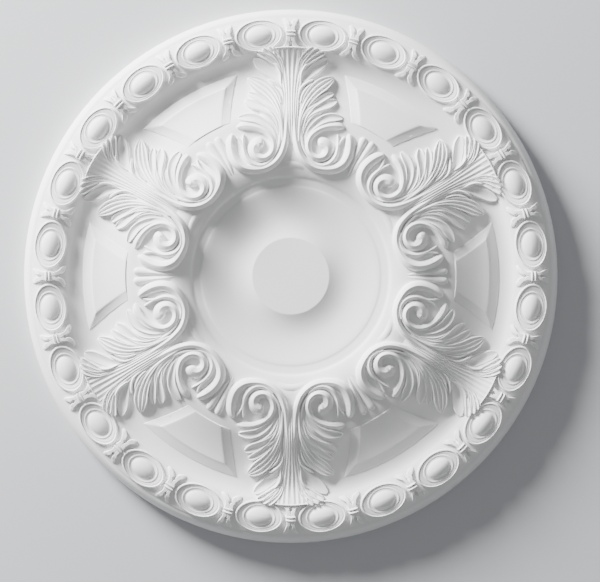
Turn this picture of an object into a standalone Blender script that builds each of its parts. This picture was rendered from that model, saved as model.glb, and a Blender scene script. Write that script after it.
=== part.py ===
"""Ceiling rose: one white casting, upright, its flat back on the plane Y = 0 and its face towards -Y.

The face is worked out lying down, with X to the right, Y up the rose and Z out of its back, and a parent empty
stands it up. A turned body carries the plain mouldings. The carving is laid over it: a band of eggs with clasps
between them, raised panels, and acanthus leaves that rise between two scrolls.
"""

import math

import bmesh
import bpy
import numpy as np
from mathutils import Matrix, Vector

# Widths of the mouldings from the centre outwards, in metres
CENTRE_DISC_DIAMETER = 0.086
DISH_WIDTH = 0.0575
LIP_WIDTH = 0.0125
ROLL_WIDTH = 0.067
FIELD_WIDTH = 0.0525
COVE_WIDTH = 0.0185
EGG_BAND_WIDTH = 0.037
RIM_WIDTH = 0.012

# Heights of the mouldings above the back
CENTRE_DISC_HEIGHT = 0.038
CENTRE_DISC_STEP = 0.0004
DISH_FLOOR_HEIGHT = 0.0346
DISH_EDGE_HEIGHT = 0.042
LIP_HEIGHT = 0.0445
ROLL_HEIGHT = 0.049
FIELD_TOP_HEIGHT = 0.040
FIELD_FOOT_HEIGHT = 0.0225
BAND_INNER_HEIGHT = 0.0295
BAND_CROWN_HEIGHT = 0.033
BAND_OUTER_HEIGHT = 0.0285
RIM_HEIGHT = 0.0270
RIM_EDGE_HEIGHT = 0.010

# The band of eggs
EGG_COUNT = 24
EGG_FRAME_LENGTH = 0.0535
EGG_FRAME_WIDTH = 0.0352
EGG_FRAME_RISE = 0.0032
EGG_VALLEY_RISE = 0.0008
EGG_DOME_LENGTH = 0.0285
EGG_DOME_WIDTH = 0.0205
EGG_DOME_RISE = 0.0062
EGG_SIDES = 12
CLASP_WIDTH = 0.0125
CLASP_RISE = 0.0055

# The raised panels
PANEL_RISE = 0.0032
PANEL_LINE_RISE = 0.0009
PANEL_BEVEL_WIDTH = 0.0115
PANEL_INNER_BEVEL_SHARE = 0.35
PANEL_MARGIN = 0.0025
PANEL_ARC_STEPS = 2
PANEL_OUTER_ANGLE = math.radians(30.0)
PANEL_INNER_ANGLE = math.radians(17.0)

# The leaves
LEAF_COUNT = 6
LEAF_OVERHANG = 0.0020
STEM_RISE = 0.0080
LOBE_RISE = 0.0062
HUSK_RISE = 0.0085
SCROLL_RISE = 0.0080
LEDGE_RISE = 0.0030
PLEAT_RISE = 0.0040

# How deep the carving is rooted below the turned face, and the width of a step between two mouldings
ROOT_DEPTH = 0.0045
STEP_RUN = 0.0004

# How finely the solid is faceted: the flat stretches are thinned until this share of the facets is left
TURNED_STEPS = 72
KEPT_SHARE = 0.54

# Radii that follow from the widths
DISC_RADIUS = CENTRE_DISC_DIAMETER / 2
DISH_RADIUS = DISC_RADIUS + DISH_WIDTH
LIP_RADIUS = DISH_RADIUS + LIP_WIDTH
ROLL_RADIUS = LIP_RADIUS + ROLL_WIDTH
FIELD_RADIUS = ROLL_RADIUS + FIELD_WIDTH
COVE_RADIUS = FIELD_RADIUS + COVE_WIDTH
BAND_RADIUS = COVE_RADIUS + EGG_BAND_WIDTH
OUTER_RADIUS = BAND_RADIUS + RIM_WIDTH
EGG_RADIUS = (COVE_RADIUS + BAND_RADIUS) / 2
LEAF_REACH = COVE_RADIUS + LEAF_OVERHANG

WHITE = (0.86, 0.86, 0.85, 1.0)
CREASE_ANGLE = math.radians(28.0)

# Centre lines of one half leaf, as shares of the leaf's reach across from its axis and out from the centre
# of the rose, each lobe with the half widths of its root, middle and tip
HUSK_LINE = [(0.022, 0.60), (0.048, 0.51), (0.106, 0.474), (0.180, 0.477), (0.238, 0.52), (0.258, 0.57),
             (0.246, 0.612)]
HUSK_HALF_WIDTHS = (0.014, 0.015, 0.019, 0.030, 0.012)
SCROLL_LINE = [(0.045, 0.60), (0.060, 0.548), (0.091, 0.503), (0.133, 0.491), (0.174, 0.509),
               (0.194, 0.552), (0.185, 0.603), (0.150, 0.624), (0.115, 0.61), (0.097, 0.571), (0.112, 0.537),
               (0.140, 0.540)]
SCROLL_HALF_WIDTHS = (0.012, 0.016, 0.016, 0.015, 0.020)
LOBES = [
    ([(0.036, 0.83), (0.104, 0.912), (0.154, 0.952)], (0.028, 0.034, 0.012)),
    ([(0.036, 0.68), (0.087, 0.785), (0.134, 0.838), (0.180, 0.872)], (0.018, 0.038, 0.018)),
    ([(0.062, 0.69), (0.117, 0.758), (0.180, 0.803)], (0.016, 0.024, 0.013)),
    ([(0.050, 0.62), (0.079, 0.672), (0.130, 0.729), (0.198, 0.766)], (0.014, 0.025, 0.014)),
    ([(0.046, 0.58), (0.072, 0.655), (0.130, 0.692), (0.222, 0.699)], (0.014, 0.024, 0.014)),
    ([(0.088, 0.632), (0.150, 0.659), (0.228, 0.650)], (0.014, 0.018, 0.012)),
]
# The stem's stations as shares of the same reach: how far out, how far to each side, and of the stem's rise
STEM_STATIONS = [(0.565, 0.014, 0.3), (0.60, 0.033, 0.9), (0.72, 0.036, 1.0), (0.83, 0.044, 1.0),
                 (0.90, 0.068, 1.0), (0.955, 0.115, 1.10), (1.0, 0.158, 1.40)]
LEDGE_LINE = [(-0.056, 0.491), (0.0, 0.497), (0.056, 0.491)]
PLEAT_SPREAD = math.radians(1.7)
PLEAT_ENDS = (0.50, 0.675)
PLEAT_HALF_WIDTH = 0.016


def clear_scene() -> None:
    """Remove whatever objects the scene holds."""
    for old in list(bpy.data.objects):
        bpy.data.objects.remove(old, do_unlink=True)


def bend(start, corner, end, steps):
    """Give the points of a curve from start to end that is pulled towards a corner, without its first point."""
    points = []
    for step in range(1, steps + 1):
        t = step / steps
        weights = ((1 - t) ** 2, 2 * t * (1 - t), t * t)
        points.append(tuple(sum(w * p[axis] for w, p in zip(weights, (start, corner, end))) for axis in (0, 1)))
    return points


def face_profile():
    """List the turned face as (radius, height), from the centre disc's edge out to the rim's edge."""
    disc = (DISC_RADIUS, CENTRE_DISC_HEIGHT)
    dish_start = (DISC_RADIUS + STEP_RUN, CENTRE_DISC_HEIGHT - CENTRE_DISC_STEP)
    floor = (DISC_RADIUS + 0.40 * DISH_WIDTH, DISH_FLOOR_HEIGHT)
    dish_end = (DISH_RADIUS, DISH_EDGE_HEIGHT)
    lip = (LIP_RADIUS, LIP_HEIGHT)
    crown = (LIP_RADIUS + 0.30 * ROLL_WIDTH, ROLL_HEIGHT)
    shoulder = (LIP_RADIUS + 0.62 * ROLL_WIDTH, 0.38 * ROLL_HEIGHT + 0.62 * FIELD_TOP_HEIGHT)
    roll = (ROLL_RADIUS, FIELD_TOP_HEIGHT)
    foot = (FIELD_RADIUS, FIELD_FOOT_HEIGHT)
    cove = (COVE_RADIUS, BAND_INNER_HEIGHT)
    band_crown = (EGG_RADIUS, BAND_CROWN_HEIGHT)
    band = (BAND_RADIUS, BAND_OUTER_HEIGHT)
    rim = (BAND_RADIUS + STEP_RUN, RIM_HEIGHT)
    edge = (OUTER_RADIUS, RIM_EDGE_HEIGHT)
    profile = [disc, dish_start]
    profile += bend(dish_start, ((dish_start[0] + floor[0]) / 2, floor[1]), floor, 2)
    profile += bend(floor, (0.65 * floor[0] + 0.35 * dish_end[0], floor[1]), dish_end, 2)
    profile += [lip]
    profile += bend(lip, ((lip[0] + crown[0]) / 2, crown[1]), crown, 2)
    profile += [shoulder, roll]
    profile += bend(roll, (foot[0] - 0.4 * FIELD_WIDTH, foot[1]), foot, 2)
    profile += bend(foot, (foot[0] + 0.65 * COVE_WIDTH, foot[1]), cove, 2)
    profile += [band_crown, band, rim]
    profile += bend(rim, (rim[0] + 0.62 * RIM_WIDTH, rim[1]), edge, 2)
    return profile


FACE = np.array(face_profile())


def ground(radius: float) -> float:
    """Give the height of the turned face above the back at a radius."""
    return float(np.interp(radius, FACE[:, 0], FACE[:, 1]))


def draped(across: float, out: float, rise: float) -> Vector:
    """Place a point of the carving so far above the turned face, in the lying position."""
    return Vector((across, out, ground(math.hypot(across, out)) + rise))


def smooth_path(points, steps):
    """Pass a smooth curve through the points and give steps + 1 points evenly along its parameter."""
    points = [Vector(p) for p in points]
    ends = [2 * points[0] - points[1], *points, 2 * points[-1] - points[-2]]
    path = []
    for step in range(steps + 1):
        place = step / steps * (len(points) - 1)
        index = min(int(place), len(points) - 2)
        t = place - index
        a, b, c, d = ends[index : index + 4]
        path.append(0.5 * (2 * b + (c - a) * t + (2 * a - 5 * b + 4 * c - d) * t**2 + (3 * b - a - 3 * c + d) * t**3))
    return path


def spread(values, share):
    """Give the value at a share of the way along a short row of values."""
    return float(np.interp(share, np.linspace(0.0, 1.0, len(values)), values))


def loft(mesh: bmesh.types.BMesh, sections, turn: Matrix) -> None:
    """Skin a row of closed sections, cap both ends and turn the body about the rose's axis."""
    rings = [[mesh.verts.new(turn @ point) for point in section] for section in sections]
    count = len(rings[0])
    for ring, following in zip(rings, rings[1:]):
        for i in range(count):
            j = (i + 1) % count
            mesh.faces.new((ring[i], ring[j], following[j], following[i]))
    mesh.faces.new(list(reversed(rings[0])))
    mesh.faces.new(rings[-1])


def strand(mesh, line, half_widths, rises, steps, turn, side=1, flat=0.4):
    """Sweep a ridge along a centre line given in shares of the leaf's reach, flat over a share of its width."""
    path = smooth_path(line, steps)
    sections = []
    for i, point in enumerate(path):
        share = i / steps
        before = path[max(i - 1, 0)]
        after = path[min(i + 1, steps)]
        along = (after - before).normalized()
        square = Vector((along.y, -along.x))
        half = spread(half_widths, share)
        rise = spread(rises, share)
        section = []
        for offset, height in ((-1.0, -ROOT_DEPTH), (-flat, rise), (flat, rise), (1.0, -ROOT_DEPTH)):
            spot = (point + square * half * offset) * LEAF_REACH
            section.append(draped(side * spot.x, spot.y, height))
        sections.append(section if side > 0 else section[::-1])
    loft(mesh, sections, turn)


def add_eggs(mesh: bmesh.types.BMesh) -> None:
    """Lay an egg in an oval frame at each half pitch of the band."""
    pitch = 2 * math.pi / EGG_COUNT
    frame = (EGG_FRAME_LENGTH / 2, EGG_FRAME_WIDTH / 2)
    dome = (EGG_DOME_LENGTH / 2, EGG_DOME_WIDTH / 2)
    rings = [
        (frame, 1.00, -ROOT_DEPTH),
        (frame, 0.93, EGG_FRAME_RISE),
        (dome, 1.08, EGG_VALLEY_RISE),
        (dome, 0.62, 0.82 * EGG_DOME_RISE),
    ]
    for number in range(EGG_COUNT):
        turn = Matrix.Rotation((number + 0.5) * pitch, 4, "Z")
        loops = []
        for (half_length, half_width), share, rise in rings:
            loop = []
            for side in range(EGG_SIDES):
                angle = 2 * math.pi * side / EGG_SIDES
                across = half_length * share * math.cos(angle)
                out = EGG_RADIUS + half_width * share * math.sin(angle)
                loop.append(draped(across, out, rise))
            loops.append(loop)
        loft(mesh, loops, turn)
        mesh.faces.ensure_lookup_table()
        top = mesh.faces[-1]
        centre = bmesh.ops.poke(mesh, faces=[top])["verts"][0]
        centre.co = turn @ draped(0.0, EGG_RADIUS, EGG_DOME_RISE)


def add_clasps(mesh: bmesh.types.BMesh) -> None:
    """Lay a waisted clasp between each pair of egg frames."""
    pitch = 2 * math.pi / EGG_COUNT
    half = CLASP_WIDTH / 2
    start = COVE_RADIUS + 0.02 * EGG_BAND_WIDTH
    stations = [(0.0, 1.5, 0.2), (0.36, 0.8, 0.65), (0.50, 1.05, 1.0), (0.64, 0.8, 0.65), (0.92, 1.25, 0.2)]
    for number in range(EGG_COUNT):
        turn = Matrix.Rotation(number * pitch, 4, "Z")
        sections = []
        for along, width, rise in stations:
            out = start + along * EGG_BAND_WIDTH
            top = rise * CLASP_RISE
            places = ((1.0, -ROOT_DEPTH), (0.72, top), (-0.72, top), (-1.0, -ROOT_DEPTH))
            sections.append([draped(x * half * width, out, z) for x, z in places])
        loft(mesh, sections, turn)


def panel_outline(inset: float, outer_rise: float, inner_rise: float):
    """Give a panel's outline, drawn in from its edge, as an inner arc and an outer arc back."""
    inner = ROLL_RADIUS + PANEL_MARGIN + inset * PANEL_INNER_BEVEL_SHARE
    outer = FIELD_RADIUS - inset
    arcs = (
        (inner, PANEL_INNER_ANGLE / 2 - inset / inner, inner_rise, 1),
        (outer, PANEL_OUTER_ANGLE / 2 - inset / outer, outer_rise, -1),
    )
    points = []
    for radius, half_angle, rise, way in arcs:
        for step in range(-PANEL_ARC_STEPS, PANEL_ARC_STEPS + 1):
            bearing = way * half_angle * step / PANEL_ARC_STEPS
            points.append(draped(radius * math.sin(bearing), radius * math.cos(bearing), rise))
    return points


def add_panels(mesh: bmesh.types.BMesh) -> None:
    """Raise a bevelled panel between each pair of leaves."""
    sections = [
        panel_outline(0.0, -ROOT_DEPTH, -ROOT_DEPTH),
        panel_outline(STEP_RUN, PANEL_LINE_RISE, PANEL_LINE_RISE),
        panel_outline(PANEL_BEVEL_WIDTH, PANEL_RISE, PANEL_RISE / 2),
    ]
    for number in range(LEAF_COUNT):
        loft(mesh, sections, Matrix.Rotation(2 * math.pi * (number + 0.5) / LEAF_COUNT, 4, "Z"))


def add_stem(mesh: bmesh.types.BMesh, turn: Matrix) -> None:
    """Lay the stem with its two ribs, which fans out into the crest that curls over the band of eggs."""
    sections = []
    for out, half, height in STEM_STATIONS:
        rise = STEM_RISE * height
        places = [(1.0, -ROOT_DEPTH), (0.8, rise * 0.8), (0.4, rise), (0.0, rise * 0.65), (-0.4, rise),
                  (-0.8, rise * 0.8), (-1.0, -ROOT_DEPTH)]
        sections.append([draped(x * half * LEAF_REACH, out * LEAF_REACH, z) for x, z in places])
    loft(mesh, sections, turn)


def add_leaf(mesh: bmesh.types.BMesh, turn: Matrix) -> None:
    """Lay one acanthus leaf: its stem and ledge, and on each side its lobes, husk and scroll."""
    add_stem(mesh, turn)
    strand(mesh, LEDGE_LINE, (0.008, 0.014, 0.008), (-0.001, LEDGE_RISE, -0.001), 2, turn)
    for side in (1, -1):
        for line, half_widths in LOBES:
            rises = (LOBE_RISE * 0.6, LOBE_RISE, LOBE_RISE * 0.55)
            strand(mesh, line, half_widths, rises, len(line) - 1, turn, side)
        strand(mesh, HUSK_LINE, HUSK_HALF_WIDTHS, (STEM_RISE, HUSK_RISE, HUSK_RISE * 0.5), 7, turn, side)
        strand(mesh, SCROLL_LINE, SCROLL_HALF_WIDTHS, (LOBE_RISE, SCROLL_RISE, SCROLL_RISE), 12, turn, side)


def add_pleats(mesh: bmesh.types.BMesh, turn: Matrix) -> None:
    """Lay two radial pleats on the roll between neighbouring leaves."""
    for side in (-1, 1):
        lean = turn @ Matrix.Rotation(side * PLEAT_SPREAD, 4, "Z")
        line = [(0.0, PLEAT_ENDS[0]), (0.0, sum(PLEAT_ENDS) / 2), (0.0, PLEAT_ENDS[1])]
        widths = (PLEAT_HALF_WIDTH * 0.5, PLEAT_HALF_WIDTH, PLEAT_HALF_WIDTH)
        strand(mesh, line, widths, (0.0, PLEAT_RISE, PLEAT_RISE * 0.6), 2, lean)


def make_material() -> bpy.types.Material:
    """Make the matt white coat."""
    material = bpy.data.materials.new("white coat")
    material.use_nodes = True
    shader = material.node_tree.nodes["Principled BSDF"]
    shader.inputs["Base Color"].default_value = WHITE
    shader.inputs["Roughness"].default_value = 0.7
    shader.inputs["Metallic"].default_value = 0.0
    return material


def turn_profile(name: str, points, closed: bool, collection) -> bpy.types.Object:
    """Turn a profile of (radius, height) points, listed top to bottom down its outer side, about the axis."""
    links = [(i, i + 1) for i in range(len(points) - 1)]
    if closed:
        links.append((len(points) - 1, 0))
    mesh = bpy.data.meshes.new(name)
    mesh.from_pydata([(radius, 0.0, height) for radius, height in points], links, [])
    body = bpy.data.objects.new(name, mesh)
    collection.objects.link(body)
    turned = body.modifiers.new("turned", "SCREW")
    turned.steps = TURNED_STEPS
    turned.render_steps = TURNED_STEPS
    turned.use_merge_vertices = True
    turned.merge_threshold = 0.00001
    return body


def make_body(collection, material) -> bpy.types.Object:
    """Turn the plain mouldings inside the rim, with a flat back."""
    inside = [point for point in face_profile() if point[0] <= BAND_RADIUS]
    points = [(0.0, CENTRE_DISC_HEIGHT), *inside, (BAND_RADIUS, 0.0), (0.0, 0.0)]
    body = turn_profile("ceiling_rose", points, False, collection)
    body.data.materials.append(material)
    return body


def make_rim(collection) -> bpy.types.Object:
    """Turn the smooth outer rim, rooted under the band of eggs."""
    inner = BAND_RADIUS - ROOT_DEPTH
    outside = [point for point in face_profile() if point[0] > BAND_RADIUS]
    points = [(inner, RIM_HEIGHT - STEP_RUN), *outside, (OUTER_RADIUS, 0.0), (inner, 0.0)]
    rim = turn_profile("rim", points, True, collection)
    rim.hide_render = True
    rim.display_type = "WIRE"
    return rim


def make_carving(collection) -> bpy.types.Object:
    """Lay all the carving over the turned face, as overlapping closed bodies in one object."""
    carving = bmesh.new()
    add_eggs(carving)
    add_clasps(carving)
    add_panels(carving)
    for number in range(LEAF_COUNT):
        turn = Matrix.Rotation(2 * math.pi * number / LEAF_COUNT, 4, "Z")
        add_leaf(carving, turn)
        add_pleats(carving, turn @ Matrix.Rotation(math.pi / LEAF_COUNT, 4, "Z"))
    bmesh.ops.recalc_face_normals(carving, faces=carving.faces[:])
    mesh = bpy.data.meshes.new("carving")
    carving.to_mesh(mesh)
    carving.free()
    cutter = bpy.data.objects.new("carving", mesh)
    collection.objects.link(cutter)
    cutter.hide_render = True
    cutter.display_type = "WIRE"
    return cutter


def settle(body: bpy.types.Object) -> None:
    """Fix the body in its evaluated shape and shade its round stretches smooth up to their creases."""
    finished = bpy.data.meshes.new_from_object(body.evaluated_get(bpy.context.evaluated_depsgraph_get()))
    body.modifiers.clear()
    body.data = finished
    finished.shade_smooth()
    finished.set_sharp_from_angle(angle=CREASE_ANGLE)


def main() -> None:
    """Build the rose and stand it up with its back on the plane Y = 0."""
    clear_scene()
    rose_parts = bpy.data.collections.new("Ceiling rose")
    cutters = bpy.data.collections.new("Cutters")
    bpy.context.scene.collection.children.link(rose_parts)
    bpy.context.scene.collection.children.link(cutters)
    body = make_body(rose_parts, make_material())
    carving = make_carving(cutters)
    rim = make_rim(cutters)
    united = body.modifiers.new("carving", "BOOLEAN")
    united.operation = "UNION"
    united.solver = "EXACT"
    united.use_self = True
    united.object = carving
    lightened = body.modifiers.new("lightened", "DECIMATE")
    lightened.decimate_type = "COLLAPSE"
    lightened.ratio = KEPT_SHARE
    rimmed = body.modifiers.new("rim", "BOOLEAN")
    rimmed.operation = "UNION"
    rimmed.solver = "EXACT"
    rimmed.object = rim
    upright = bpy.data.objects.new("upright", None)
    upright.rotation_euler = (math.pi / 2, 0.0, 0.0)
    rose_parts.objects.link(upright)
    for piece in (body, carving, rim):
        piece.parent = upright
    settle(body)


main()
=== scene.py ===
"""The ceiling rose of the photo, in one white moulding, hung on a pale wall in soft side light."""

import logging
import math
from dataclasses import dataclass, field
from enum import Enum
from typing import Callable

import bmesh
import bpy
import numpy as np
from mathutils import Matrix, Vector

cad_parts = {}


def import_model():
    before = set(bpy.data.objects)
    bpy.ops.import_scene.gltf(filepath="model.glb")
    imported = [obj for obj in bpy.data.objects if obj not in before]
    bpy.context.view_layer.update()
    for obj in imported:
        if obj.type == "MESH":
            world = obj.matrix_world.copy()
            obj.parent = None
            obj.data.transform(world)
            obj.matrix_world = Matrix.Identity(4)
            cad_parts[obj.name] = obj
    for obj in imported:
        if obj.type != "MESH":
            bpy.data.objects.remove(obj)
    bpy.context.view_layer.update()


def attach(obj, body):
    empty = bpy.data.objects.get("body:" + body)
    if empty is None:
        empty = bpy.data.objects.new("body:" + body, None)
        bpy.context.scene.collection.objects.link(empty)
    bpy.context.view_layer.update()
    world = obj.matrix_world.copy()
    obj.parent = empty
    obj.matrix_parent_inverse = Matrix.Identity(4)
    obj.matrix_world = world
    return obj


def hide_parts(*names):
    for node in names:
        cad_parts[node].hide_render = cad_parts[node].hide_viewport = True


LOG = logging.getLogger("ceiling_rose")
Point = tuple[float, float]
Line = tuple[Point, ...]
MM = 0.001
WELD = 0.002 * MM


def smooth_row(values: Line | tuple[float, ...], places: np.ndarray) -> np.ndarray:
    """Pass a smooth curve through a row of values.

    Args:
        values: numbers or points, one for each station.
        places: where to read the curve, counted in stations from 0.

    Returns:
        The curve's value at each place.
    """
    rows = np.asarray(values, dtype=float)
    ends = np.concatenate([[2 * rows[0] - rows[1]], rows, [2 * rows[-1] - rows[-2]]])
    index = np.minimum(places.astype(int), len(rows) - 2)
    t = places - index
    if rows.ndim > 1:
        t = t[:, None]
    a, b, c, d = (ends[index + step] for step in range(4))
    return 0.5 * (2 * b + (c - a) * t + (2 * a - 5 * b + 4 * c - d) * t**2 + (3 * b - a - 3 * c + d) * t**3)


def pull(start: Point, corner: Point, end: Point, steps: int) -> Line:
    """Give a curve from start to end that is pulled towards a corner.

    Args:
        start: first point, which is left out of the result.
        corner: the point that the curve leans to.
        end: last point.
        steps: how many points to give.

    Returns:
        The points after the first one.
    """
    shares = [step / steps for step in range(1, steps + 1)]
    return tuple(
        tuple((1 - t) ** 2 * s + 2 * t * (1 - t) * c + t * t * e for s, c, e in zip(start, corner, end))
        for t in shares
    )


def lay_patch(
    mesh: bmesh.types.BMesh, columns: int, rows: int, place: Callable[[np.ndarray, np.ndarray], np.ndarray]
) -> list[bmesh.types.BMVert]:
    """Wrap a grid round into a closed body.

    Args:
        mesh: the mesh to add it to.
        columns: steps round the body; the last column falls on the first.
        rows: steps along the body.
        place: gives the points for arrays of column and row numbers.

    Returns:
        The body's vertices.
    """
    grid = bmesh.ops.create_grid(mesh, x_segments=columns, y_segments=rows, size=1.0)["verts"]
    flat = np.array([vert.co[:2] for vert in grid])
    column = np.rint((flat[:, 0] + 1.0) / 2.0 * columns).astype(int)
    row = np.rint((flat[:, 1] + 1.0) / 2.0 * rows).astype(int)
    for vert, spot in zip(grid, place(column % columns, row)):
        vert.co = Vector(spot)
    faces = list({face for vert in grid for face in vert.link_faces})
    bmesh.ops.remove_doubles(mesh, verts=grid, dist=WELD)
    verts = list({vert for face in faces if face.is_valid for vert in face.verts})
    open_edges = list({edge for vert in verts for edge in vert.link_edges if edge.is_boundary})
    bmesh.ops.holes_fill(mesh, edges=open_edges, sides=0)
    return verts


def turn_over(mesh: bmesh.types.BMesh, verts: list[bmesh.types.BMVert]) -> list[bmesh.types.BMVert]:
    """Copy closed bodies to the other side of the carving's axis.

    Args:
        mesh: the mesh that they are in.
        verts: all their vertices.

    Returns:
        The copies' vertices.
    """
    faces = list({face for vert in verts for face in vert.link_faces})
    copies = bmesh.ops.duplicate(mesh, geom=verts + faces)["geom"]
    others = [part for part in copies if isinstance(part, bmesh.types.BMVert)]
    bmesh.ops.scale(mesh, vec=(-1, 1, 1), verts=others)
    return others


@dataclass
class TurnedFace:
    """The plain mouldings, from the flat centre disc out to the rim, all turned about the rose's axis."""

    disc_radius: float = 43.0 * MM
    dish_radius: float = 98.0 * MM
    lip_radius: float = 110.5 * MM
    roll_radius: float = 180.0 * MM
    field_radius: float = 232.5 * MM
    cove_radius: float = 251.0 * MM
    band_radius: float = 288.0 * MM
    outer_radius: float = 300.0 * MM
    disc_height: float = 38.0 * MM
    disc_step: float = 0.1 * MM
    dish_floor: float = 34.0 * MM
    dish_edge: float = 40.0 * MM
    lip_height: float = 43.6 * MM
    bead_rise: float = 0.04 * MM
    bead_width: float = 2.2 * MM
    channel_rise: float = 2.0 * MM
    wall_run: float = 1.6 * MM
    roll_height: float = 49.0 * MM
    field_top: float = 40.0 * MM
    field_foot: float = 22.5 * MM
    band_inner: float = 29.5 * MM
    band_crown: float = 33.0 * MM
    band_outer: float = 28.5 * MM
    rim_height: float = 27.0 * MM
    rim_edge: float = 10.0 * MM
    step_run: float = 0.3 * MM
    floor_share: float = 0.40
    crown_share: float = 0.30
    shoulder_share: float = 0.62
    floor_pull: float = 0.35
    field_pull: float = 0.4
    cove_pull: float = 0.65
    rim_pull: float = 0.62
    turned_steps: int = 120
    outline: np.ndarray = field(init=False)

    def __post_init__(self) -> None:
        """Work the profile out once."""
        self.outline = np.array(self.profile())

    @property
    def egg_radius(self) -> float:
        """Give the radius that the middle of the band of eggs runs on."""
        return (self.cove_radius + self.band_radius) / 2

    def profile(self) -> list[Point]:
        """List the face as (radius, height) from the centre disc's edge to the rim's edge."""
        return [*self.dish_profile(), *self.roll_profile(), *self.band_profile()]

    def dish_profile(self) -> list[Point]:
        """List the disc's edge, the dish, its small bead, the channel round it and the wall up to the lip."""
        edge = (self.disc_radius, self.disc_height - self.disc_step)
        floor = (edge[0] + self.floor_share * (self.dish_radius - edge[0]), self.dish_floor)
        end = (self.dish_radius, self.dish_edge)
        lip = (self.lip_radius, self.lip_height)
        wall_foot = (lip[0] - self.wall_run, end[1] + self.channel_rise)
        points = [(self.disc_radius - runs * self.step_run, self.disc_height) for runs in (4, 1)]
        points += [edge, *pull(edge, ((edge[0] + floor[0]) / 2, floor[1]), floor, 7)]
        points += pull(floor, (floor[0] + self.floor_pull * (end[0] - floor[0]), floor[1]), end, 9)
        points += [(end[0] + share * self.bead_width, end[1] + self.bead_rise * math.sin(math.pi * share))
                   for share in (0.12, 0.3, 0.5, 0.7, 0.88, 1.0)]
        middle = ((points[-1][0] + wall_foot[0]) / 2, (end[1] + wall_foot[1]) / 2)
        points += pull(points[-1], middle, wall_foot, 4)
        return [*points, (lip[0] - self.step_run, lip[1] - self.step_run), lip]

    def roll_profile(self) -> list[Point]:
        """List the roll that the scrolls lie on, from the lip on, and the sloping field down to its foot."""
        roll_width = self.roll_radius - self.lip_radius
        lip = (self.lip_radius, self.lip_height)
        crown = (self.lip_radius + self.crown_share * roll_width, self.roll_height)
        shoulder = (self.lip_radius + self.shoulder_share * roll_width,
                    self.roll_height + self.shoulder_share * (self.field_top - self.roll_height))
        roll = (self.roll_radius, self.field_top)
        foot = (self.field_radius, self.field_foot)
        field_corner = (foot[0] - self.field_pull * (foot[0] - roll[0]), foot[1])
        return [
            *pull(lip, ((lip[0] + crown[0]) / 2, crown[1] - 2 * self.step_run), crown, 8),
            *pull(crown, ((crown[0] + shoulder[0]) / 2, crown[1] - self.step_run), shoulder, 4),
            *pull(shoulder, ((shoulder[0] + roll[0]) / 2, (shoulder[1] + roll[1]) / 2), roll, 3),
            *pull(roll, field_corner, foot, 9),
        ]

    def band_profile(self) -> list[Point]:
        """List the cove, the band that the eggs lie on and the rim."""
        foot = (self.field_radius, self.field_foot)
        cove = (self.cove_radius, self.band_inner)
        crown = (self.egg_radius, self.band_crown)
        outer = (self.band_radius, self.band_outer)
        rim = (self.band_radius + self.step_run, self.rim_height)
        rim_corner = (rim[0] + self.rim_pull * (self.outer_radius - self.band_radius), rim[1])
        return [
            *pull(foot, (foot[0] + self.cove_pull * (cove[0] - foot[0]), foot[1]), cove, 6),
            *pull(cove, ((cove[0] + crown[0]) / 2, crown[1]), crown, 4),
            *pull(crown, ((outer[0] + crown[0]) / 2, crown[1]), outer, 4),
            rim,
            *pull(rim, rim_corner, (self.outer_radius, self.rim_edge), 8),
        ]

    def height(self, radius: np.ndarray, spread: float) -> np.ndarray:
        """Give the face's height above the back at each radius, evened out over a spread to both sides."""
        weights = {-1.0: 1, -0.5: 2, 0.0: 3, 0.5: 2, 1.0: 1}
        parts = [weight * np.interp(radius + share * spread, self.outline[:, 0], self.outline[:, 1])
                 for share, weight in weights.items()]
        return sum(parts) / sum(weights.values())

    def drape(
        self, across: np.ndarray, out: np.ndarray, rise: np.ndarray, spread: float = 0.0
    ) -> np.ndarray:
        """Place points so far above the face.

        Args:
            across: how far each point is to the side of the carving's axis.
            out: how far it is along that axis from the rose's centre.
            rise: how far it is above the face.
            spread: how far to both sides the face's height is evened out.

        Returns:
            One point a row, in the lying position.
        """
        return np.column_stack([across, out, self.height(np.hypot(across, out), spread) + rise])

    def build(self, mesh: bmesh.types.BMesh) -> None:
        """Turn the face, its flat back and the centre disc."""
        points = [(0.0, self.disc_height), *self.outline, (self.outer_radius, 0.0), (0.0, 0.0)]
        verts = [mesh.verts.new((radius, 0.0, height)) for radius, height in points]
        edges = [mesh.edges.new(pair) for pair in zip(verts, verts[1:])]
        bmesh.ops.spin(
            mesh, geom=verts + edges, cent=(0, 0, 0), axis=(0, 0, 1), angle=2 * math.pi,
            steps=self.turned_steps, use_merge=True,
        )
        bmesh.ops.remove_doubles(mesh, verts=mesh.verts[:], dist=WELD)


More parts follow.
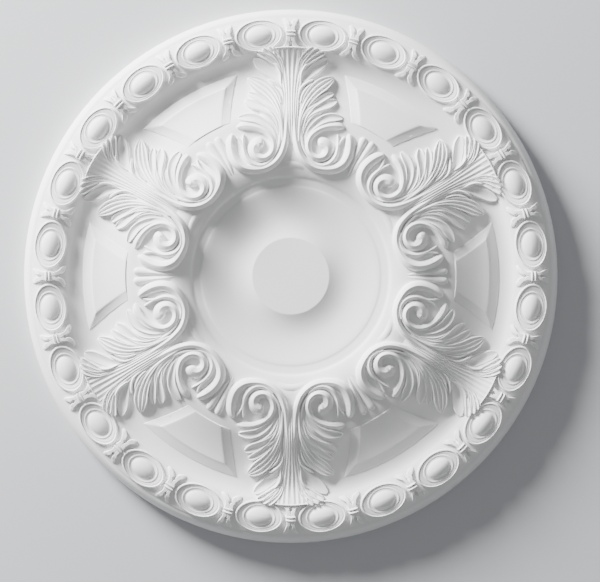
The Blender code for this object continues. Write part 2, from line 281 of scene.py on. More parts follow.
@dataclass(frozen=True)
class CrossSection:
    """A strand's section: where its ridges stand, and how deep the hollows between them are."""

    ridges: tuple[float, ...] = ()
    depth: float = 0.0
    hollow_steps: int = 3
    arch: float = 0.0
    round_places: tuple[float, ...] = (-1.0, -0.94, -0.62, 0.0, 0.62, 0.94, 1.0)
    edge_steps: Line = ((0.5, 0.87), (0.93, 0.4), (1.0, -1.0))
    hollow_power: float = 1.3

    def columns(self) -> tuple[np.ndarray, np.ndarray]:
        """Give each point's place from -1 to 1 and its height as a share of the rise, negative at a root."""
        if not self.ridges:
            places = np.array(self.round_places)
            return places, np.where(np.abs(places) == 1.0, -1.0, np.sqrt(1.0 - np.minimum(places**2, 1.0)))
        places = [self.ridges[0]]
        heights = [1.0]
        for start, end in zip(self.ridges, self.ridges[1:]):
            for step in range(1, self.hollow_steps + 1):
                share = step / self.hollow_steps
                places.append(start + (end - start) * share)
                heights.append(1.0 - self.depth * math.sin(math.pi * share) ** self.hollow_power)
        edge = 1.0 - self.ridges[-1]
        for share, height in self.edge_steps:
            places = [self.ridges[0] - edge * share, *places, self.ridges[-1] + edge * share]
            heights = [height, *heights, height]
        places, heights = np.array(places), np.array(heights)
        return places, np.where(heights > 0.0, heights * (1.0 - self.arch * places**2), heights)


class Cut(Enum):
    """How a strand of the carving is cut."""

    ROUND = CrossSection()
    FLAT = CrossSection((-0.7, 0.7), hollow_steps=1)
    CUPPED = CrossSection((-0.74, 0.74), depth=0.45)
    FLUTED = CrossSection((-0.84, -0.29, 0.29, 0.84), depth=0.42)
    FANNED = CrossSection(
        (-0.92, -0.68, -0.43, -0.16, 0.16, 0.43, 0.68, 0.92), depth=0.18, hollow_steps=2, arch=0.2
    )


@dataclass(frozen=True)
class Strand:
    """One strand of the carving, laid over the turned face along a centre line. Lengths are in millimetres.

    A strand is rounded off over the share tip of its length at its end and start_tip at its start. Its
    cut grows out of a round section between the shares cut_start and twice cut_start. Its roots reach
    root_depth below the face, which is evened out over spread to both sides under it.
    """

    line: Line
    half_widths: tuple[float, ...]
    rises: tuple[float, ...]
    cut: Cut = Cut.ROUND
    steps: int = 20
    tip: float = 0.25
    start_tip: float = 0.0
    cut_start: float = 0.0
    root_depth: float = 4.0
    spread: float = 11.0
    trail_steps: int = 400
    least_half: float = 0.2
    least_tip: float = 0.03

    def stations(self) -> np.ndarray:
        """Give the stations along the strand as shares of its length, closer together at a rounded end."""
        along = np.linspace(0.0, 1.0, self.steps)
        if self.start_tip > 0.0:
            along = 0.6 * along + 0.2 * (1.0 - np.cos(along * math.pi))
        elif self.tip > 0.0:
            along = 0.35 * along + 0.65 * np.sin(along * math.pi / 2)
        return np.append(along, 1.0)

    def lay(self, mesh: bmesh.types.BMesh, face: TurnedFace) -> list[bmesh.types.BMVert]:
        """Lay the strand.

        Args:
            mesh: the mesh to add it to.
            face: the turned face that it lies on.

        Returns:
            Its vertices.
        """
        along = self.stations()
        trail = smooth_row(self.line, np.linspace(0.0, len(self.line) - 1, self.trail_steps))
        lengths = np.concatenate([[0.0], np.cumsum(np.hypot(*np.diff(trail, axis=0).T))])
        reach = along * lengths[-1]
        centre = np.column_stack([np.interp(reach, lengths, trail[:, axis]) for axis in (0, 1)])
        heading = np.column_stack([np.interp(reach, lengths, np.gradient(trail[:, axis])) for axis in (0, 1)])
        heading /= np.linalg.norm(heading, axis=1)[:, None]
        square = np.column_stack([heading[:, 1], -heading[:, 0]])
        half = smooth_row(self.half_widths, along * (len(self.half_widths) - 1))
        half = np.maximum(half, self.least_half)
        rise = smooth_row(self.rises, along * (len(self.rises) - 1))
        for reached, share in ((along, self.tip), (1.0 - along, self.start_tip)):
            if share > 0.0:
                left = np.clip((reached - (1.0 - share)) / share, 0.0, 1.0)
                roundness = np.sqrt(1.0 - left**2)
                half = half * np.maximum(roundness, self.least_tip)
                rise = rise * np.sqrt(roundness)
        places, heights = self.cut.value.columns()
        whole = np.sqrt(np.maximum(1.0 - places**2, 0.0))
        cut = np.ones_like(along)
        if self.cut_start > 0.0:
            cut = np.clip((along - self.cut_start) / self.cut_start, 0.0, 1.0)

        def place(column: np.ndarray, row: np.ndarray) -> np.ndarray:
            """Give the strand's points."""
            spots = centre[row] + square[row] * (half[row] * places[column])[:, None]
            at_end = (row == self.steps) | ((row == 0) & (self.start_tip > 0.0))
            sunk = (heights[column] < 0.0) | at_end
            share = whole[column] + (heights[column] - whole[column]) * cut[row]
            rises = np.where(sunk, -self.root_depth, rise[row] * share)
            return face.drape(spots[:, 0] * MM, spots[:, 1] * MM, rises * MM, self.spread * MM)

        return lay_patch(mesh, len(places), self.steps, place)


@dataclass
class AcanthusLeaf:
    """A leaf that stands on two scrolls, fans out and curls over the band of eggs. Lengths in millimetres."""

    count: int = 6
    stem: Strand = Strand(
        ((0, 143), (0, 156), (0, 170), (0, 190), (0, 210), (0, 222), (0, 234), (0, 244), (0, 250), (0, 254)),
        (4.0, 6.0, 7.6, 8.2, 8.8, 9.8, 12.4, 15.6, 18.6, 21.0),
        (0.0, 4.4, 6.4, 7.2, 7.6, 7.8, 7.7, 7.3, 6.9, 6.7),
        Cut.FANNED, steps=34, tip=0.0,
    )
    crest_lip: Strand = Strand(
        ((-19.5, 252.7), (-9, 253.8), (0, 254.1), (9, 253.8), (19.5, 252.7)),
        (1.0, 1.3, 1.3, 1.3, 1.0), (6.2, 7.2, 7.6, 7.2, 6.2), Cut.ROUND, steps=18, tip=0.08, start_tip=0.08,
    )
    ledge: Strand = Strand(
        ((-17, 117), (-9, 121.4), (0, 123.0), (9, 121.4), (17, 117)),
        (2.4, 3.4, 3.8, 3.4, 2.4), (0.2, 1.3, 1.7, 1.3, 0.2), Cut.ROUND, steps=16, tip=0.0,
    )
    halves: tuple[Strand, ...] = (
        Strand(  # sheet under the lobes
            ((8.6, 220), (13, 206), (17.5, 192), (20, 177), (18, 162), (15.6, 146)),
            (3.5, 8, 13.5, 14.5, 10.5, 5), (3.8, 4.6, 4.8, 4.6, 4.2, 3.2),
            Cut.ROUND, steps=16, tip=0.0,
        ),
        Strand(  # wing below the crest
            ((8.4, 206), (10.4, 215), (16.4, 222.4), (24, 228.8), (32, 234.8), (41.2, 242.0)),
            (3, 4.6, 6.2, 7.0, 6.6, 5.0), (5.2, 5.6, 5.2, 4.6, 3.8, 3.0),
            Cut.CUPPED, steps=24, tip=0.22,
        ),
        Strand(  # curl beside the wing
            ((10.8, 216), (11.6, 225), (14, 231.2), (17.6, 235.4), (22.4, 236)),
            (1.5, 2.1, 2.4, 2.3, 2.0), (7.2, 8.2, 8.6, 8.2, 7.2),
            Cut.ROUND, steps=14, tip=0.3,
        ),
        Strand(  # sheet under the crest's side
            ((10.4, 220), (13, 232), (19, 240.5), (30, 246.6)),
            (3, 6.5, 8.5, 7.5), (5.2, 5.8, 5.8, 5.4),
            Cut.ROUND, steps=14, tip=0.2,
        ),
        Strand(  # crest tips, from the side to the middle
            ((11, 222), (14.4, 234.4), (21.6, 240.6), (29.4, 244.8), (37.6, 248.6)),
            (1.8, 3.2, 3.8, 3.7, 3.0), (6.0, 6.8, 6.8, 6.6, 6.4),
            Cut.CUPPED, steps=16, tip=0.1,
        ),
        Strand(
            ((10.2, 224), (12.8, 236.4), (18.6, 243.0), (25, 247.6), (32, 252.0)),
            (1.8, 3.0, 3.7, 3.7, 3.0), (6.4, 7.0, 7.1, 6.9, 6.7),
            Cut.CUPPED, steps=16, tip=0.1,
        ),
        Strand(
            ((9.2, 226), (11.4, 237.6), (15.6, 244.6), (20.4, 249.4), (25.8, 253.6)),
            (1.8, 3.0, 3.6, 3.6, 3.0), (6.8, 7.3, 7.3, 7.1, 6.9),
            Cut.CUPPED, steps=16, tip=0.1,
        ),
        Strand(  # frilled flaps above the big lobe
            ((8, 196), (9.8, 206), (13.4, 211.4), (19, 215.8), (25.6, 219.8)),
            (1.2, 1.9, 2.2, 2.2, 1.9), (6.6, 7.8, 8.4, 8.2, 7.0),
            Cut.ROUND, steps=13, tip=0.3,
        ),
        Strand(
            ((10.8, 192), (12.6, 200), (15.6, 206), (20.2, 211.2), (25.8, 215.4)),
            (1.2, 1.8, 2.1, 2.1, 1.8), (6.4, 7.4, 7.8, 7.6, 6.6),
            Cut.ROUND, steps=13, tip=0.3,
        ),
        Strand(  # upper of the two lowest fingers, which wraps round the scroll
            ((29, 121), (22, 130), (18, 140), (17.6, 150), (20.8, 159.6), (28.4, 168), (38.4, 173.8),
             (48, 175.4), (58.4, 174.8)),
            (1.8, 2.0, 2.2, 2.6, 3.2, 4.4, 5.4, 5.6, 4.6), (5.0, 5.4, 5.6, 5.6, 5.6, 5.4, 5.2, 4.8, 3.8),
            Cut.CUPPED, steps=32, tip=0.17, cut_start=0.3,
        ),
        Strand(  # flaps deep in the lower notch
            ((13.6, 157), (16.4, 165), (21.6, 173.6), (29.6, 180.4), (39, 184.8)),
            (1.2, 1.4, 1.7, 1.9, 1.7), (5.0, 5.4, 5.6, 5.4, 4.6),
            Cut.ROUND, steps=15, tip=0.25,
        ),
        Strand(
            ((13.4, 160), (16.4, 172.4), (21.6, 181), (28, 187)),
            (1.2, 1.6, 1.8, 1.6), (5.2, 5.8, 6.0, 5.2),
            Cut.ROUND, steps=13, tip=0.3,
        ),
        Strand(  # lower of the middle fingers
            ((27.6, 118), (20, 130), (14, 141.6), (11.6, 154), (12.4, 166), (17, 176), (24.4, 183),
             (34, 188), (43.6, 191.6), (51.6, 195.4)),
            (1.2, 1.4, 1.7, 1.9, 2.2, 3.0, 4.4, 5.6, 6.2, 5.4),
            (5.0, 5.4, 5.8, 6.0, 6.0, 6.0, 6.0, 5.8, 5.4, 4.4),
            Cut.CUPPED, steps=32, tip=0.13, cut_start=0.35,
        ),
        Strand(  # upper of the middle fingers
            ((10, 150), (10.8, 166), (14.8, 177.6), (22, 186.6), (30.4, 193.8), (39.4, 199.8),
             (47.8, 203.6)),
            (1.4, 1.8, 2.4, 3.4, 4.2, 4.6, 4.2), (5.6, 6.2, 6.4, 6.4, 6.4, 6.0, 5.0),
            Cut.CUPPED, steps=28, tip=0.15, cut_start=0.35,
        ),
        Strand(  # big lobe
            ((8.8, 148), (9.6, 164), (11.2, 175.6), (14.4, 186), (20, 197.2), (28, 207.0), (37.6, 214.6),
             (48.4, 221.4)),
            (1.6, 2.0, 2.8, 4.2, 6.4, 8.0, 8.2, 6.2), (6.0, 6.6, 6.8, 7.0, 7.4, 7.6, 7.2, 5.6),
            Cut.FLUTED, steps=28, tip=0.2, cut_start=0.3,
        ),
        Strand(  # hollow between the husk's rims
            ((16, 126), (28, 121.4), (42, 120.6), (51, 126), (57, 135), (58.6, 144), (58.4, 150)),
            (3, 4, 5, 6, 6.6, 6.6, 5.4), (4.6, 4.4, 3.8, 3.2, 2.6, 2.0, 1.6),
            Cut.ROUND, steps=20, tip=0.1,
        ),
        Strand(  # husk's inner rim, with its forked top
            ((20, 129), (26, 123.6), (34, 121.2), (42.4, 123.6), (48.8, 130.6), (51.6, 139), (52.4, 148),
             (52.0, 157)),
            (2.4, 3.0, 3.6, 3.8, 3.2, 2.3, 1.8, 1.7), (6.0, 6.4, 6.8, 6.6, 6.2, 6.0, 5.6, 4.8),
            Cut.ROUND, steps=28, tip=0.12,
        ),
        Strand(
            ((51.4, 139), (54.4, 147.0), (60.0, 154.4)),
            (1.8, 1.8, 1.5), (5.8, 5.4, 4.2),
            Cut.ROUND, steps=10, tip=0.3,
        ),
        Strand(  # stem's rib, which runs under the scroll and ends in the husk's fat outer rim
            ((4.4, 226), (4.0, 194), (4.2, 176), (5.0, 158), (6.8, 145), (10.8, 133.2), (17.8, 124.6),
             (27.6, 118.8), (39.2, 117.0), (50.6, 118.6), (59.4, 124.8), (64.4, 135), (65.8, 146.5),
             (64.6, 157.5)),
            (1.2, 1.8, 2.6, 3.3, 3.8, 4.2, 4.2, 4.2, 4.4, 5.0, 5.9, 6.3, 6.2, 4.8),
            (6.6, 7.3, 7.1, 6.9, 6.8, 7.0, 7.4, 7.7, 7.8, 7.8, 7.8, 7.6, 7.2, 6.0),
            Cut.ROUND, steps=48, tip=0.06,
        ),
        Strand(  # lowest finger, which turns over the scroll's top, round the scroll and into its fat eye
            ((60.4, 164.4), (51, 166.0), (40, 164.8), (30.2, 161.0), (23.2, 155.2), (19.8, 149.4),
             (18.8, 143.0), (20.4, 136.4), (24.8, 131.4), (30.6, 129.4), (37.0, 131.2), (40.6, 136.2),
             (40.2, 142.4), (35.6, 146.2), (29.6, 145.4)),
            (3.4, 5.0, 4.6, 4.1, 3.9, 4.0, 4.1, 4.1, 4.2, 4.3, 4.8, 5.8, 6.9, 7.6, 7.0),
            (3.0, 4.8, 5.6, 6.2, 6.6, 6.9, 7.2, 7.4, 7.6, 7.7, 7.6, 7.4, 7.5, 8.0, 7.8),
            Cut.ROUND, steps=60, tip=0.05, start_tip=0.09,
        ),
    )

    def build(self, mesh: bmesh.types.BMesh, face: TurnedFace) -> None:
        """Lay one leaf: its middle, one side, and that side turned over for the other."""
        for strand in (self.stem, self.crest_lip, self.ledge):
            strand.lay(mesh, face)
        turn_over(mesh, [vert for strand in self.halves for vert in strand.lay(mesh, face)])


@dataclass
class EggBand:
    """The band of eggs, each in an oval frame, with a clasp between each pair. Lengths in millimetres."""

    count: int = 24
    sides: int = 30
    frame_half: Point = (27.4, 18.2)
    frame_steps: Line = ((1.0, -4.0), (0.985, 1.8), (0.955, 3.1), (0.92, 3.2), (0.89, 1.9), (0.87, 1.6),
                         (0.85, 1.8), (0.82, 1.8), (0.75, 1.0))
    ring_half: Point = (17.4, 13.2)
    ring_steps: Line = ((1.06, 0.8), (1.03, 1.3), (0.98, 1.3), (0.94, 0.7), (0.89, 0.5))
    dome_half: Point = (14.0, 9.9)
    dome_steps: tuple[float, ...] = (1.0, 0.97, 0.9, 0.78, 0.6, 0.38, 0.18, 0.0)
    dome_foot: float = 0.5
    dome_rise: float = 3.8
    dome_power: float = 0.72
    ties: tuple[Strand, ...] = tuple(
        Strand(((-6.2, out - 0.2), (0, out), (6.2, out - 0.2)), (1.9, 2.0, 1.9), (5.6, 6.8, 5.6),
               Cut.ROUND, steps=9, tip=0.12, start_tip=0.12)
        for out in (267.7, 271.5)
    )
    horns: tuple[Strand, ...] = (
        Strand(  # inner horn
            ((2.35, 267), (2.35, 262.8), (3.7, 260.4), (3.7, 257.8), (5.3, 255.4), (8.4, 253.2),
             (12.4, 251.6)),
            (2.65, 2.65, 1.7, 2.9, 2.9, 2.3, 0.8), (5.0, 5.0, 5.0, 4.8, 4.2, 3.2, 1.4),
            Cut.FLAT, steps=13, tip=0.1,
        ),
        Strand(  # outer horn
            ((2.35, 272), (2.35, 276), (3.6, 278.4), (3.6, 281.0), (4.8, 283.2), (6.6, 285.4), (8.6, 287.4)),
            (2.65, 2.65, 1.7, 2.8, 2.6, 2.0, 0.8), (5.0, 5.0, 5.0, 4.6, 3.8, 2.8, 1.2),
            Cut.FLAT, steps=13, tip=0.1,
        ),
    )

    def rings(self) -> list[tuple[Point, float]]:
        """List the egg's rings from the frame's foot to the dome's top, as (half sizes, rise)."""
        rings = []
        for half, steps in ((self.frame_half, self.frame_steps), (self.ring_half, self.ring_steps)):
            rings += [((half[0] * share, half[1] * share), rise) for share, rise in steps]
        for share in self.dome_steps:
            rise = self.dome_foot + (self.dome_rise - self.dome_foot) * (1 - share**2) ** self.dome_power
            rings.append(((self.dome_half[0] * share, self.dome_half[1] * share), rise))
        return rings

    def build_egg(self, mesh: bmesh.types.BMesh, face: TurnedFace, bearing: float) -> None:
        """Lay one egg in its frame, centred on a bearing from the leaf's axis."""
        halves = np.array([half for half, _ in self.rings()])
        rises = np.array([rise for _, rise in self.rings()])

        def place(column: np.ndarray, row: np.ndarray) -> np.ndarray:
            """Give the egg's points, bent to the band's curve."""
            angle = 2 * math.pi * column / self.sides
            across = halves[row, 0] * np.cos(angle) * MM
            out = face.egg_radius + halves[row, 1] * np.sin(angle) * MM
            turn = bearing + across / face.egg_radius
            return face.drape(out * np.sin(turn), out * np.cos(turn), rises[row] * MM)

        lay_patch(mesh, self.sides, len(rises) - 1, place)

    def build_clasp(self, mesh: bmesh.types.BMesh, face: TurnedFace) -> list[bmesh.types.BMVert]:
        """Lay one clasp on the leaf's axis: two pairs of horns round drilled holes, tied by a double band.

        Args:
            mesh: the mesh to add it to.
            face: the turned face that it lies on.

        Returns:
            Its vertices.
        """
        ties = [vert for tie in self.ties for vert in tie.lay(mesh, face)]
        horns = [vert for horn in self.horns for vert in horn.lay(mesh, face)]
        return ties + horns + turn_over(mesh, horns)

    def build(self, mesh: bmesh.types.BMesh, face: TurnedFace, share: int) -> None:
        """Lay the eggs and clasps of one leaf's share of the band.

        Args:
            mesh: the mesh to add them to.
            face: the turned face that they lie on.
            share: how many shares the band is cut in.
        """
        pitch = 2 * math.pi / self.count
        for number in range(self.count // share):
            self.build_egg(mesh, face, (number + 0.5) * pitch)
            clasp = self.build_clasp(mesh, face)
            turn = Matrix.Rotation(-number * pitch, 3, "Z")
            bmesh.ops.rotate(mesh, cent=(0, 0, 0), matrix=turn, verts=clasp)


@dataclass
class PanelSet:
    """The raised panels between the leaves, with bevelled edges. Lengths in metres, angles in degrees."""

    rise: float = 3.3 * MM
    strip_rise: float = 1.9 * MM
    line_rise: float = 1.0 * MM
    step_run: float = 0.9 * MM
    bevel: float = 11.0 * MM
    inner_bevel_share: float = 0.08
    inner_rise_share: float = 0.25
    margin: float = 2.5 * MM
    root_depth: float = 3.0 * MM
    outer_angle: float = 30.0
    inner_angle: float = 17.0
    arc_steps: int = 12
    side_steps: int = 6
    top_steps: tuple[float, ...] = (0.08, 0.3, 0.55, 0.8, 1.0)

    def steps(self) -> list[tuple[float, float, float]]:
        """List the panel's outlines from its root to its middle, as (inset, share of the way in, rise)."""
        edge = [(0.0, -self.root_depth), (0.0, 0.0), (0.3 * self.step_run, 0.6 * self.line_rise),
                (self.step_run, self.line_rise), (self.bevel - 2 * self.step_run, self.strip_rise),
                (self.bevel - 0.4 * self.step_run, 0.95 * self.rise), (self.bevel, self.rise)]
        return [(inset, 0.0, rise) for inset, rise in edge] + [
            (self.bevel, share, self.rise) for share in self.top_steps]

    def outline(self, face: TurnedFace, inset: float) -> tuple[np.ndarray, np.ndarray]:
        """Give the panel's outline, drawn in from its edge, as bearings and radii from the gap's axis."""
        edge_inner, edge_outer = face.roll_radius + self.margin, face.field_radius
        inner, outer = edge_inner + inset * self.inner_bevel_share, edge_outer - inset
        halves = [math.radians(angle / 2) for angle in (self.inner_angle, self.outer_angle)]
        flare = (halves[1] - halves[0]) / (edge_outer - edge_inner)
        inner_half = halves[0] + flare * (inner - edge_inner) - inset / inner
        outer_half = halves[1] - flare * (edge_outer - outer) - inset / outer
        corners = [(-inner_half, inner), (inner_half, inner), (outer_half, outer), (-outer_half, outer)]
        bearings, radii = [], []
        for number, (start, end) in enumerate(zip(corners, corners[1:] + corners[:1])):
            steps = self.side_steps if number % 2 else self.arc_steps
            for step in range(steps):
                share = (1 - math.cos(math.pi * step / steps)) / 2
                bearings.append(start[0] + (end[0] - start[0]) * share)
                radii.append(start[1] + (end[1] - start[1]) * share)
        return np.array(bearings), np.array(radii)

    def build(self, mesh: bmesh.types.BMesh, face: TurnedFace, bearing: float) -> None:
        """Raise one panel whose axis lies on a bearing from the leaf's axis."""
        middle = (face.roll_radius + face.field_radius) / 2
        laid = []
        for inset, share, rise in self.steps():
            bearings, radii = self.outline(face, inset)
            laid.append((bearings * (1 - share), radii + (middle - radii) * share, rise))
        all_bearings, all_radii, all_rises = (np.array([row[part] for row in laid]) for part in range(3))

        def place(column: np.ndarray, row: np.ndarray) -> np.ndarray:
            """Give the panel's points."""
            turn, radius = bearing + all_bearings[row, column], all_radii[row, column]
            outward = (radius - face.roll_radius) / (face.field_radius - face.roll_radius)
            outward = np.clip(outward, 0.0, 1.0)
            rises = all_rises[row] * (self.inner_rise_share + (1 - self.inner_rise_share) * np.sqrt(outward))
            return face.drape(radius * np.sin(turn), radius * np.cos(turn), rises)

        lay_patch(mesh, len(laid[0][0]), len(laid) - 1, place)


@dataclass
class PleatSet:
    """Two radial pleats on the roll between neighbouring leaves. Lengths in millimetres."""

    pleat: Strand = Strand(
        ((1.0, 126), (2.3, 140), (3.8, 154), (4.9, 165), (5.6, 174)),
        (1.0, 2.2, 3.4, 4.2, 4.4), (0.2, 2.6, 3.8, 4.0, 3.6), Cut.ROUND, steps=18, tip=0.1,
    )

    def build(self, mesh: bmesh.types.BMesh, face: TurnedFace, bearing: float) -> None:
        """Lay the pleats about a bearing, given in radians."""
        pleats = self.pleat.lay(mesh, face)
        pleats += turn_over(mesh, pleats)
        bmesh.ops.rotate(mesh, cent=(0, 0, 0), matrix=Matrix.Rotation(-bearing, 3, "Z"), verts=pleats)


@dataclass(frozen=True)
class WhiteCoat:
    """The matt white priming coat: barely uneven in tone and gloss, with a fine sprayed grain."""

    name: str = "white coat"
    light: tuple[float, float, float] = (0.89, 0.89, 0.885)
    shade: tuple[float, float, float] = (0.865, 0.865, 0.86)
    roughness: tuple[float, float] = (0.55, 0.7)
    specular: float = 0.4
    cloud_scale: float = 14.0
    cloud_detail: float = 3.0
    grain_scale: float = 900.0
    grain_detail: float = 2.0
    grain_height: float = 0.2 * MM
    grain_strength: float = 0.05

    def material(self) -> bpy.types.Material:
        """Make the material."""
        material = bpy.data.materials.new(self.name)
        material.use_nodes = True
        nodes, links = material.node_tree.nodes, material.node_tree.links
        shader = nodes["Principled BSDF"]
        shader.inputs["Metallic"].default_value = 0.0
        shader.inputs["Specular IOR Level"].default_value = self.specular
        where = nodes.new("ShaderNodeTexCoord")
        cloud = nodes.new("ShaderNodeTexNoise")
        cloud.inputs["Scale"].default_value = self.cloud_scale
        cloud.inputs["Detail"].default_value = self.cloud_detail
        links.new(where.outputs["Object"], cloud.inputs["Vector"])
        tone = nodes.new("ShaderNodeMix")
        tone.data_type = "RGBA"
        tone.inputs["A"].default_value = (*self.shade, 1.0)
        tone.inputs["B"].default_value = (*self.light, 1.0)
        links.new(cloud.outputs["Fac"], tone.inputs["Factor"])
        links.new(tone.outputs["Result"], shader.inputs["Base Color"])
        gloss = nodes.new("ShaderNodeMapRange")
        gloss.inputs["To Min"].default_value, gloss.inputs["To Max"].default_value = self.roughness
        links.new(cloud.outputs["Fac"], gloss.inputs["Value"])
        links.new(gloss.outputs["Result"], shader.inputs["Roughness"])
        grain = nodes.new("ShaderNodeTexNoise")
        grain.inputs["Scale"].default_value = self.grain_scale
        grain.inputs["Detail"].default_value = self.grain_detail
        links.new(where.outputs["Object"], grain.inputs["Vector"])
        bump = nodes.new("ShaderNodeBump")
        bump.inputs["Strength"].default_value = self.grain_strength
        bump.inputs["Distance"].default_value = self.grain_height
        links.new(grain.outputs["Fac"], bump.inputs["Height"])
        links.new(bump.outputs["Normal"], shader.inputs["Normal"])
        return material


@dataclass
class CeilingRose:
    """The whole rose as one moulding."""

    name: str = "ceiling_rose_moulding"
    crease: float = 38.0
    face: TurnedFace = field(default_factory=TurnedFace)
    leaf: AcanthusLeaf = field(default_factory=AcanthusLeaf)
    eggs: EggBand = field(default_factory=EggBand)
    panels: PanelSet = field(default_factory=PanelSet)
    pleats: PleatSet = field(default_factory=PleatSet)
    coat: WhiteCoat = WhiteCoat()

    def build_carving(self) -> bmesh.types.BMesh:
        """Carve one leaf's share of the rose and repeat it round the axis."""
        mesh = bmesh.new()
        gap = math.pi / self.leaf.count
        self.leaf.build(mesh, self.face)
        self.eggs.build(mesh, self.face, self.leaf.count)
        self.panels.build(mesh, self.face, gap)
        self.pleats.build(mesh, self.face, gap)
        share = 2 * math.pi / self.leaf.count
        bmesh.ops.spin(
            mesh, geom=mesh.verts[:] + mesh.edges[:] + mesh.faces[:], cent=(0, 0, 0), axis=(0, 0, 1),
            angle=share * (self.leaf.count - 1), steps=self.leaf.count - 1, use_duplicate=True,
        )
        return mesh

    def build(self) -> bpy.types.Object:
        """Make the rose's object, upright and facing the room.

        Returns:
            The finished object.
        """
        mesh = self.build_carving()
        self.face.build(mesh)
        upright = Matrix.Rotation(math.pi / 2, 3, "X")
        bmesh.ops.rotate(mesh, cent=(0, 0, 0), matrix=upright, verts=mesh.verts[:])
        bmesh.ops.recalc_face_normals(mesh, faces=mesh.faces[:])
        data = bpy.data.meshes.new(self.name)
        mesh.to_mesh(data)
        mesh.free()
        data.shade_smooth()
        data.set_sharp_from_angle(angle=math.radians(self.crease))
        data.materials.append(self.coat.material())
        rose = bpy.data.objects.new(self.name, data)
        bpy.context.scene.collection.objects.link(rose)
        return rose


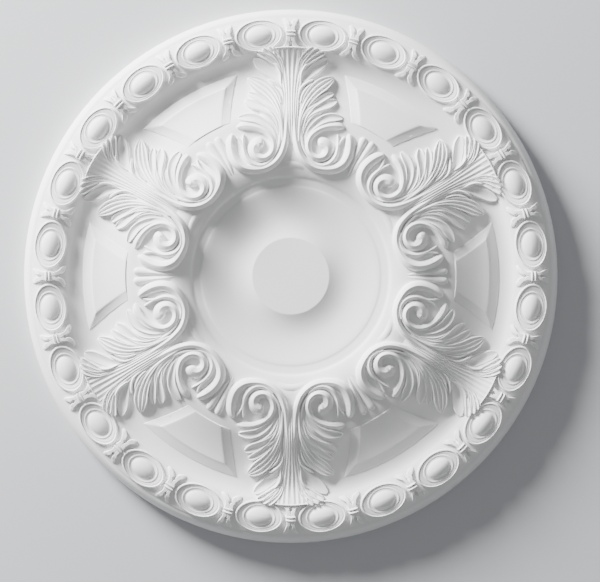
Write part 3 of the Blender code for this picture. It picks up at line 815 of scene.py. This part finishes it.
@dataclass
class Studio:
    """The pale wall behind the rose, the soft lights and the camera. Lengths in metres, angles in degrees."""

    wall_radius: float = 3.5
    wall_opening: float = 0.2995
    wall_gap: float = 0.3 * MM
    wall_steps: int = 96
    wall_tone: tuple[float, float, float] = (0.56, 0.57, 0.59)
    wall_roughness: float = 0.9
    wall_specular: float = 0.1
    key_elevation: float = 17.8
    key_bearing: float = 135.0
    key_distance: float = 2.8
    key_size: float = 1.05
    key_power: float = 465.0
    back_distance: float = 1.6
    back_size: float = 0.4
    back_power: float = 20.0
    fill: float = 0.34
    fill_tone: tuple[float, float, float] = (0.97, 0.98, 1.0)
    lens: float = 100.0
    distance: float = 1.885
    aim: Point = (0.0103, -0.0166)
    nearest: float = 0.05
    farthest: float = 20.0

    def build_wall(self) -> bpy.types.Object:
        """Make the wall: clear from behind, and open where the rose covers it, so that its back is lit.

        Returns:
            The wall.
        """
        mesh = bmesh.new()
        bmesh.ops.create_circle(mesh, segments=self.wall_steps, radius=self.wall_opening)
        outer = bmesh.ops.extrude_edge_only(mesh, edges=list(mesh.edges))["geom"]
        bmesh.ops.scale(mesh, vec=(self.wall_radius / self.wall_opening,) * 3,
                        verts=[part for part in outer if isinstance(part, bmesh.types.BMVert)])
        upright = Matrix.Translation((0, self.wall_gap, 0)) @ Matrix.Rotation(math.pi / 2, 4, "X")
        bmesh.ops.transform(mesh, verts=list(mesh.verts), matrix=upright)
        mesh.normal_update()
        bmesh.ops.reverse_faces(mesh, faces=[patch for patch in mesh.faces if patch.normal.y > 0])
        data = bpy.data.meshes.new("wall")
        mesh.to_mesh(data)
        mesh.free()
        data.materials.append(self.paint())
        wall = bpy.data.objects.new("wall", data)
        bpy.context.scene.collection.objects.link(wall)
        return wall

    def paint(self) -> bpy.types.Material:
        """Make the wall's paint, which is clear from behind."""
        paint = bpy.data.materials.new("pale wall")
        paint.use_nodes = True
        nodes, links = paint.node_tree.nodes, paint.node_tree.links
        shader = nodes["Principled BSDF"]
        shader.inputs["Base Color"].default_value = (*self.wall_tone, 1.0)
        shader.inputs["Roughness"].default_value = self.wall_roughness
        shader.inputs["Specular IOR Level"].default_value = self.wall_specular
        clear = nodes.new("ShaderNodeBsdfTransparent")
        side = nodes.new("ShaderNodeNewGeometry")
        either = nodes.new("ShaderNodeMixShader")
        links.new(side.outputs["Backfacing"], either.inputs["Fac"])
        links.new(shader.outputs["BSDF"], either.inputs[1])
        links.new(clear.outputs["BSDF"], either.inputs[2])
        links.new(either.outputs["Shader"], nodes["Material Output"].inputs["Surface"])
        return paint

    def build_light(
        self, name: str, away: Vector, distance: float, size: float, power: float
    ) -> bpy.types.Object:
        """Hang a soft round light that shines at the rose.

        Args:
            name: the light's name.
            away: the direction from the rose to the light.
            distance: how far off it hangs.
            size: how wide it is.
            power: how strong it is, in watts.

        Returns:
            The light.
        """
        lamp = bpy.data.lights.new(name, "AREA")
        lamp.shape = "DISK"
        lamp.size = size
        lamp.energy = power
        light = bpy.data.objects.new(name, lamp)
        light.location = away * distance
        light.rotation_euler = away.to_track_quat("Z", "Y").to_euler()
        light.visible_camera = False
        bpy.context.scene.collection.objects.link(light)
        return light

    def build_world(self) -> None:
        """Give the room its even fill."""
        world = bpy.data.worlds.new("room")
        world.use_nodes = True
        room = world.node_tree.nodes["Background"]
        room.inputs["Color"].default_value = (*self.fill_tone, 1.0)
        room.inputs["Strength"].default_value = self.fill
        bpy.context.scene.world = world

    def build_camera(self) -> bpy.types.Object:
        """Set the camera square in front of the rose, a little off its centre as in the photo.

        Returns:
            The camera.
        """
        optics = bpy.data.cameras.new("camera")
        optics.lens = self.lens
        optics.clip_start, optics.clip_end = self.nearest, self.farthest
        camera = bpy.data.objects.new("camera", optics)
        camera.location = (self.aim[0], -self.distance, self.aim[1])
        camera.rotation_euler = (math.pi / 2, 0.0, 0.0)
        bpy.context.scene.collection.objects.link(camera)
        bpy.context.scene.camera = camera
        return camera

    def build(self) -> None:
        """Set the stage round the rose."""
        self.build_wall()
        low, turn = math.radians(self.key_elevation), math.radians(self.key_bearing)
        key = Vector((math.cos(low) * math.cos(turn), -math.sin(low), math.cos(low) * math.sin(turn)))
        behind = Vector((0, 1, 0))
        self.build_light("key", key, self.key_distance, self.key_size, self.key_power)
        self.build_light("back light", behind, self.back_distance, self.back_size, self.back_power)
        self.build_world()
        self.build_camera()


def main() -> None:
    """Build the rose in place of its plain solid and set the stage."""
    logging.basicConfig(level=logging.INFO, format="%(name)s: %(message)s")
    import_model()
    rose = CeilingRose().build()
    LOG.info("%s: %d faces", rose.name, len(rose.data.polygons))
    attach(rose, "root")
    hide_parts("ceiling_rose")
    Studio().build()
    LOG.info("wall, key light, room and camera are set")


if __name__ == "__main__":
    main()
